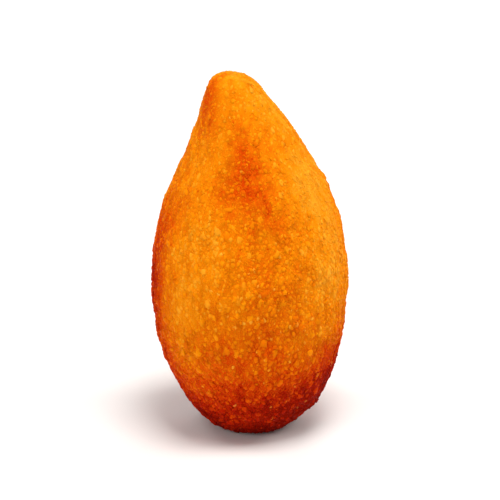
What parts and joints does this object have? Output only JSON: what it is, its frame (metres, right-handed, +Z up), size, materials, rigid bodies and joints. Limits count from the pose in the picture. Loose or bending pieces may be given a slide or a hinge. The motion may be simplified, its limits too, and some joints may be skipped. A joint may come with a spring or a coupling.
{
  "type": "coxinha",
  "caption": "Drop-shaped coxinha with a full round belly, a straight tapering neck and a blunt tip leaning to one side, under a fine golden crumb crust.",
  "frame": {"origin": "middle of the bounding box, on the level of the flat foot", "axes": "+Z up from the foot to the tip, -Y towards the side that the picture shows, tip leaning towards -X"},
  "size_m": [0.0334, 0.035, 0.063],
  "materials": {
    "crust": "fried crumb crust, dry and slightly velvety, golden orange and browner towards the foot"
  },
  "bodies": {
    "root": {"coxinha": "crust"}
  },
  "joints": []
}
